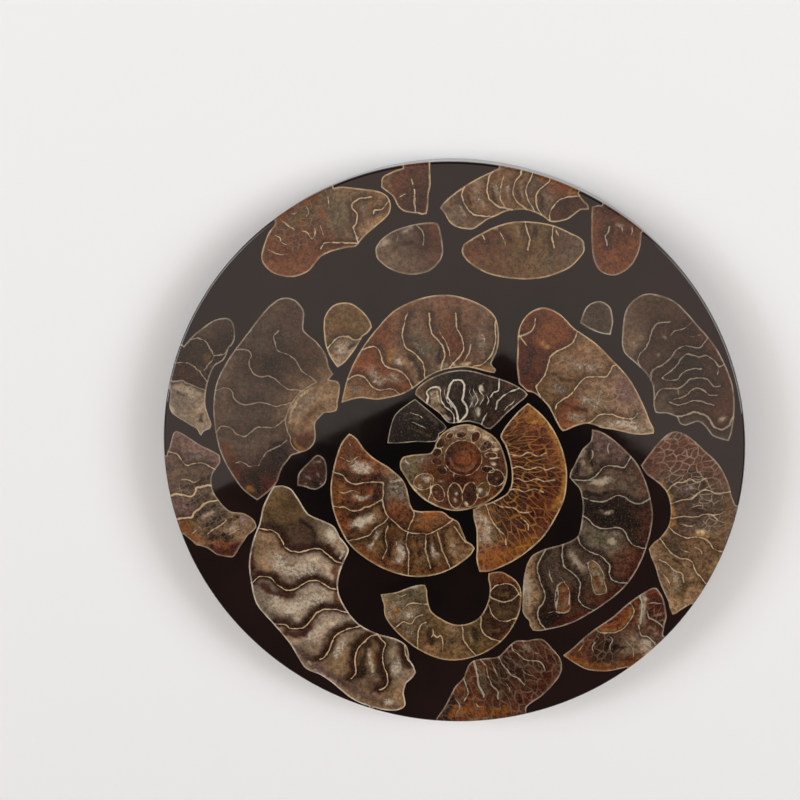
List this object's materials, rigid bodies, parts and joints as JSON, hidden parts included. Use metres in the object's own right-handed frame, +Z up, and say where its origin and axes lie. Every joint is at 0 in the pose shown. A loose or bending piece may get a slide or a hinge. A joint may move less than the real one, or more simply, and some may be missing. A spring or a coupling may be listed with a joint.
{
  "type": "ammonite inlay disc",
  "caption": "Round polished slab of black-brown resin with slices of ammonite set flush in its face, showing chambers and wavy suture lines.",
  "frame": {"origin": "middle of the flat underside", "axes": "+Z up out of the polished face, +Y towards the far edge of the disc as it is seen, +X to the right"},
  "size_m": [0.121, 0.121, 0.008],
  "materials": {
    "resin": "polished black-brown resin",
    "brown_fossil": "polished brown calcite with cream suture lines",
    "grey_brown_fossil": "polished grey-brown calcite with cream suture lines",
    "tan_fossil": "polished tan calcite with cream suture lines",
    "amber_fossil": "polished amber-orange calcite",
    "olive_fossil": "polished olive calcite with cream chamber walls",
    "mauve_fossil": "polished mauve-brown calcite",
    "red_fossil": "polished dark red-brown calcite",
    "charcoal_fossil": "polished charcoal calcite with pale frilled lines",
    "pearly_fossil": "polished pearly grey calcite bordered in brown"
  },
  "bodies": {
    "root": {"resin_disc": "resin", "top_left_mottled_slice": "brown_fossil", "top_brown_slice": "brown_fossil", "upper_arc_slice": "grey_brown_fossil", "top_crescent_slice": "brown_fossil", "upper_right_arc_slice": "brown_fossil", "top_right_red_slice": "red_fossil", "left_edge_slice": "grey_brown_fossil", "left_great_slice": "grey_brown_fossil", "small_wedge_slice": "tan_fossil", "upper_middle_slice": "brown_fossil", "charcoal_slice": "charcoal_fossil", "black_triangle_slice": "charcoal_fossil", "central_spiral": "brown_fossil", "amber_slice": "amber_fossil", "tan_slice": "tan_fossil", "small_grey_chip": "charcoal_fossil", "right_upper_wavy_slice": "grey_brown_fossil", "right_mauve_slice": "mauve_fossil", "right_centre_slice": "red_fossil", "centre_left_amber_slice": "amber_fossil", "left_lower_slice": "mauve_fossil", "lower_left_great_slice": "pearly_fossil", "small_red_fragment": "red_fossil", "lower_centre_olive_slice": "olive_fossil", "bottom_red_slice": "red_fossil", "bottom_right_slice": "red_fossil"}
  },
  "joints": []
}
